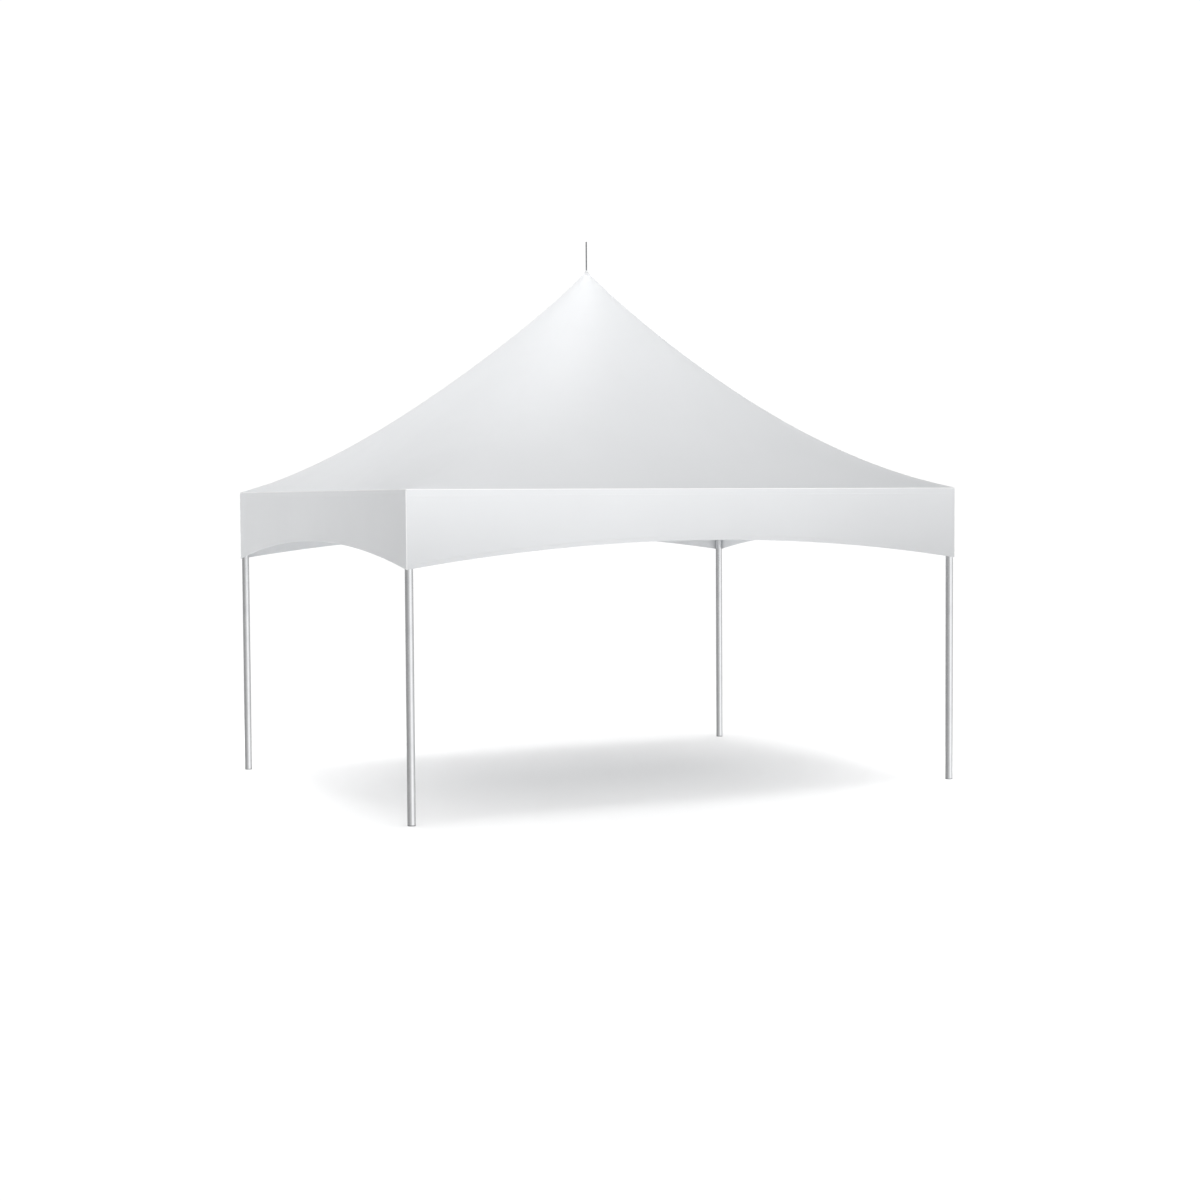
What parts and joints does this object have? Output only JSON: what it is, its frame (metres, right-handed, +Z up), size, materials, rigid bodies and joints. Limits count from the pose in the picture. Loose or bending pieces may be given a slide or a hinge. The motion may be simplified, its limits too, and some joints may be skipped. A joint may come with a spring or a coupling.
{
  "type": "marquee tent",
  "caption": "Rectangular white fabric marquee with a high curved peak, spire, arched valances and a tube frame on slim legs; a mast on tension cables lifts the roof.",
  "frame": {"origin": "on the ground, under the peak, at the middle of the four legs", "axes": "+X along the wide front, to the right as seen from in front; +Y from front to back; +Z up"},
  "size_m": [4.9456, 3.7256, 4.55],
  "materials": {
    "aluminium_tube": "satin anodised",
    "cast_fitting": "fine cast, matt",
    "steel_hardware": "zinc plated",
    "wire_rope": "galvanised wire rope with swaged ends",
    "canopy_fabric": "white PVC-coated polyester, low sheen",
    "end_plug": "moulded, matt",
    "peak_cap": "moulded, matt white"
  },
  "bodies": {
    "root": {"cable_back_left": "wire_rope", "cable_back_right": "wire_rope", "cable_front_left": "wire_rope", "cable_front_right": "wire_rope", "corner_fitting_back_left": "cast_fitting", "corner_fitting_back_right": "cast_fitting", "corner_fitting_front_left": "cast_fitting", "corner_fitting_front_right": "cast_fitting", "eave_splice_back": "cast_fitting", "eave_splice_front": "cast_fitting", "eave_tube_back_left": "aluminium_tube", "eave_tube_back_right": "aluminium_tube", "eave_tube_front_left": "aluminium_tube", "eave_tube_front_right": "aluminium_tube", "eave_tube_left": "aluminium_tube", "eave_tube_right": "aluminium_tube", "foot_plug_back_left": "end_plug", "foot_plug_back_right": "end_plug", "foot_plug_front_left": "end_plug", "foot_plug_front_right": "end_plug", "leg_back_left": "aluminium_tube", "leg_back_right": "aluminium_tube", "leg_front_left": "aluminium_tube", "leg_front_right": "aluminium_tube", "mast": "aluminium_tube", "mast_head": "cast_fitting", "mast_hub": "cast_fitting", "peak_cap": "peak_cap", "roof_panel_back": "canopy_fabric", "roof_panel_front": "canopy_fabric", "roof_panel_left": "canopy_fabric", "roof_panel_right": "canopy_fabric", "spire": "steel_hardware", "turnbuckle_back_left": "steel_hardware", "turnbuckle_back_right": "steel_hardware", "turnbuckle_front_left": "steel_hardware", "turnbuckle_front_right": "steel_hardware", "turnbuckle_jaw_back_left": "steel_hardware", "turnbuckle_jaw_back_right": "steel_hardware", "turnbuckle_jaw_front_left": "steel_hardware", "turnbuckle_jaw_front_right": "steel_hardware", "valance_back": "canopy_fabric", "valance_front": "canopy_fabric", "valance_left": "canopy_fabric", "valance_right": "canopy_fabric"}
  },
  "joints": []
}
